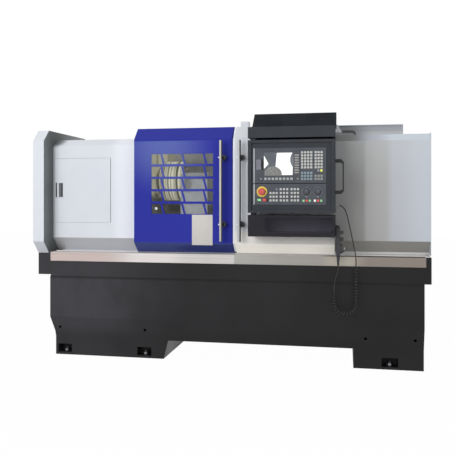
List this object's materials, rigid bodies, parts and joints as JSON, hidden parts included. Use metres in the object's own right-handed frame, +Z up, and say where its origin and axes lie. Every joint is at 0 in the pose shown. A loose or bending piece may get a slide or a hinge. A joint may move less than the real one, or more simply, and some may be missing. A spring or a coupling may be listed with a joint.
{
  "type": "cnc turning lathe",
  "caption": "Flat-bed turning lathe with sliding guard doors, recessed end covers, a swinging operator console and a corded hand pendant on a two-footed cast base.",
  "frame": {"origin": "on the floor under the middle of the machine's outline", "axes": "+X along the bed to the right as the operator faces it, +Y to the back, +Z up"},
  "size_m": [2.53, 1.23, 1.54],
  "materials": {
    "dark_casting": "satin dark charcoal paint",
    "bolt_steel": "zinc plated",
    "tray_paint": "satin dark charcoal paint",
    "stainless_sill": "brushed stainless",
    "cast_grey": "satin grey paint on casting",
    "machined_steel": "ground steel",
    "chuck_steel": "turned steel",
    "jaw_steel": "hardened steel",
    "tool_post_steel": "blackened steel",
    "belt_rubber": "matte",
    "motor_paint": "satin black",
    "pulley_iron": "machined",
    "splash_steel": "gloss light grey",
    "panel_white": "gloss light grey powder coat",
    "panel_grey": "gloss light grey powder coat",
    "door_blue": "gloss blue powder coat",
    "clear_pane": "clear",
    "tube_stainless": "polished stainless",
    "black_bracket": "fine grained black",
    "latch_steel": "satin chrome",
    "console_paint": "satin charcoal powder coat",
    "panel_dark": "satin dark grey",
    "screen_glass": "anti-glare",
    "estop_red": "gloss",
    "knob_black": "matte",
    "start_green": "gloss",
    "stop_red": "gloss",
    "flap_grey": "matte",
    "gland_nylon": "matte",
    "pendant_plastic": "fine grained",
    "dial_grey": "satin",
    "cord_black": "matte",
    "cabinet_paint": "light grey powder coat"
  },
  "bodies": {
    "machine": {"base_casting": "dark_casting", "leveling_bolts": "bolt_steel", "chip_tray": "tray_paint", "door_rail_strip": "stainless_sill", "bed_casting": "cast_grey", "end_guard": "panel_white", "headstock_cover": "panel_white", "right_end_cover": "panel_grey", "rear_splash_guard": "panel_grey", "roof_rail": "panel_white", "headstock_casting": "cast_grey", "spindle_motor": "motor_paint", "drive_belt": "belt_rubber", "z_servo_motor": "motor_paint", "electrical_cabinet": "cabinet_paint", "cable_carrier": "black_bracket"},
    "cabinet_door": {"cabinet_door": "cabinet_paint"},
    "hatch_door": {"hatch_door": "panel_white"},
    "hatch_latch": {"hatch_latch": "latch_steel"},
    "left_door": {"left_door_shell": "door_blue", "left_window_pane": "clear_pane", "left_handle_tube": "tube_stainless", "left_handle_brackets": "black_bracket"},
    "right_door": {"right_door_shell": "panel_white", "right_handle_tube": "tube_stainless", "right_handle_brackets": "black_bracket", "console_hood": "console_paint", "console_lower_box": "console_paint", "cable_gland": "gland_nylon", "pendant_case": "pendant_plastic", "cord_upper": "cord_black", "cord_curly": "cord_black", "cord_lower": "cord_black"},
    "console": {"console_case": "console_paint", "display_unit": "panel_dark", "display_glass": "screen_glass", "machine_panel": "panel_dark", "console_grab_handle": "black_bracket"},
    "estop_button": {"estop_button": "estop_red"},
    "feed_knob": {"feed_knob": "knob_black"},
    "spindle_knob": {"spindle_knob": "knob_black"},
    "start_button": {"start_button": "start_green"},
    "stop_button": {"stop_button": "stop_red"},
    "usb_flap": {"usb_flap": "flap_grey"},
    "pendant_dial": {"pendant_dial": "dial_grey"},
    "pendant_axis_knob": {"pendant_axis_knob": "knob_black"},
    "pendant_step_knob": {"pendant_step_knob": "knob_black"},
    "spindle": {"spindle": "machined_steel", "chuck_body": "chuck_steel"},
    "chuck_jaw_1": {"chuck_jaw_1": "jaw_steel"},
    "chuck_jaw_2": {"chuck_jaw_2": "jaw_steel"},
    "chuck_jaw_3": {"chuck_jaw_3": "jaw_steel"},
    "motor_pulley": {"motor_pulley": "pulley_iron"},
    "carriage": {"carriage": "cast_grey", "carriage_splash_plate": "splash_steel"},
    "cross_slide": {"cross_slide": "machined_steel"},
    "turret": {"turret_head": "tool_post_steel"},
    "tailstock": {"tailstock_body": "cast_grey"},
    "quill": {"tailstock_quill": "machined_steel"},
    "z_ballscrew": {"z_ballscrew": "machined_steel"}
  },
  "joints": [
    {"name": "left_door_slide", "type": "slide", "parent": "machine", "child": "left_door", "axis": [1, 0, 0], "range_m": [-0.6, 0]},
    {"name": "right_door_slide", "type": "slide", "parent": "machine", "child": "right_door", "axis": [1, 0, 0], "range_m": [0, 0.56]},
    {"name": "console_swing", "type": "hinge", "parent": "right_door", "child": "console", "pos_m": [0.225, -0.56, 1.15], "axis": [0, 0, 1], "range_deg": [-75, 0]},
    {"name": "hatch_hinge", "type": "hinge", "parent": "machine", "child": "hatch_door", "pos_m": [-0.786, -0.25, 1.08], "axis": [0, 0, 1], "range_deg": [0, 100]},
    {"name": "hatch_latch_flip", "type": "hinge", "parent": "hatch_door", "child": "hatch_latch", "pos_m": [-1.133, -0.252, 1.125], "axis": [-1, 0, 0], "range_deg": [0, 40], "stiffness_Nm_per_rad": 0.2},
    {"name": "cabinet_door_hinge", "type": "hinge", "parent": "machine", "child": "cabinet_door", "pos_m": [-1.1, 0.615, 0.96], "axis": [0, 0, 1], "range_deg": [0, 110]},
    {"name": "spindle_spin", "type": "hinge", "parent": "machine", "child": "spindle", "pos_m": [-0.8, 0.01, 1.149], "axis": [1, 0, 0], "continuous": true},
    {"name": "motor_pulley_spin", "type": "hinge", "parent": "machine", "child": "motor_pulley", "pos_m": [-1.138, 0.01, 0.74], "axis": [1, 0, 0], "continuous": true},
    {"name": "jaw_1_slide", "type": "slide", "parent": "spindle", "child": "chuck_jaw_1", "axis": [0, 0, 1], "range_m": [-0.01, 0.012]},
    {"name": "jaw_2_slide", "type": "slide", "parent": "spindle", "child": "chuck_jaw_2", "axis": [0, -0.866, -0.5], "range_m": [-0.01, 0.012]},
    {"name": "jaw_3_slide", "type": "slide", "parent": "spindle", "child": "chuck_jaw_3", "axis": [0, 0.866, -0.5], "range_m": [-0.01, 0.012]},
    {"name": "carriage_slide", "type": "slide", "parent": "machine", "child": "carriage", "axis": [1, 0, 0], "range_m": [-0.1, 0.48]},
    {"name": "z_ballscrew_spin", "type": "hinge", "parent": "machine", "child": "z_ballscrew", "pos_m": [0.3, -0.172, 0.8], "axis": [1, 0, 0], "continuous": true},
    {"name": "cross_slide_slide", "type": "slide", "parent": "carriage", "child": "cross_slide", "axis": [0, 1, 0], "range_m": [-0.03, 0.09]},
    {"name": "turret_index", "type": "hinge", "parent": "cross_slide", "child": "turret", "pos_m": [-0.02, -0.1, 1.1], "axis": [0, 0, 1], "continuous": true},
    {"name": "tailstock_slide", "type": "slide", "parent": "machine", "child": "tailstock", "axis": [1, 0, 0], "range_m": [-0.5, 0.1]},
    {"name": "quill_slide", "type": "slide", "parent": "tailstock", "child": "quill", "axis": [1, 0, 0], "range_m": [-0.08, 0]},
    {"name": "estop_press", "type": "slide", "parent": "console", "child": "estop_button", "axis": [0, 1, 0], "range_m": [0, 0.003]},
    {"name": "start_press", "type": "slide", "parent": "console", "child": "start_button", "axis": [0, 1, 0], "range_m": [0, 0.0025], "stiffness_N_per_m": 400},
    {"name": "stop_press", "type": "slide", "parent": "console", "child": "stop_button", "axis": [0, 1, 0], "range_m": [0, 0.0025], "stiffness_N_per_m": 400},
    {"name": "feed_knob_turn", "type": "hinge", "parent": "console", "child": "feed_knob", "pos_m": [0.534, -0.59, 1.065], "axis": [0, 1, 0], "range_deg": [-140, 140]},
    {"name": "spindle_knob_turn", "type": "hinge", "parent": "console", "child": "spindle_knob", "pos_m": [0.599, -0.59, 1.065], "axis": [0, 1, 0], "range_deg": [-140, 140]},
    {"name": "usb_flap_hinge", "type": "hinge", "parent": "console", "child": "usb_flap", "pos_m": [0.2434, -0.5835, 1.22], "axis": [0, 0, -1], "range_deg": [0, 90]},
    {"name": "pendant_dial_spin", "type": "hinge", "parent": "right_door", "child": "pendant_dial", "pos_m": [0.73, -0.46, 0.731], "axis": [1, 0, 0], "continuous": true},
    {"name": "pendant_axis_turn", "type": "hinge", "parent": "right_door", "child": "pendant_axis_knob", "pos_m": [0.73, -0.46, 0.826], "axis": [1, 0, 0], "range_deg": [-60, 60]},
    {"name": "pendant_step_turn", "type": "hinge", "parent": "right_door", "child": "pendant_step_knob", "pos_m": [0.73, -0.46, 0.787], "axis": [1, 0, 0], "range_deg": [-60, 60]}
  ],
  "couplings": [
    {"joint": "motor_pulley_spin", "follows": "spindle_spin", "ratio": 1.3333},
    {"joint": "jaw_2_slide", "follows": "jaw_1_slide", "ratio": 1},
    {"joint": "jaw_3_slide", "follows": "jaw_1_slide", "ratio": 1},
    {"joint": "z_ballscrew_spin", "follows": "carriage_slide", "rad_per_m": 628.32}
  ]
}
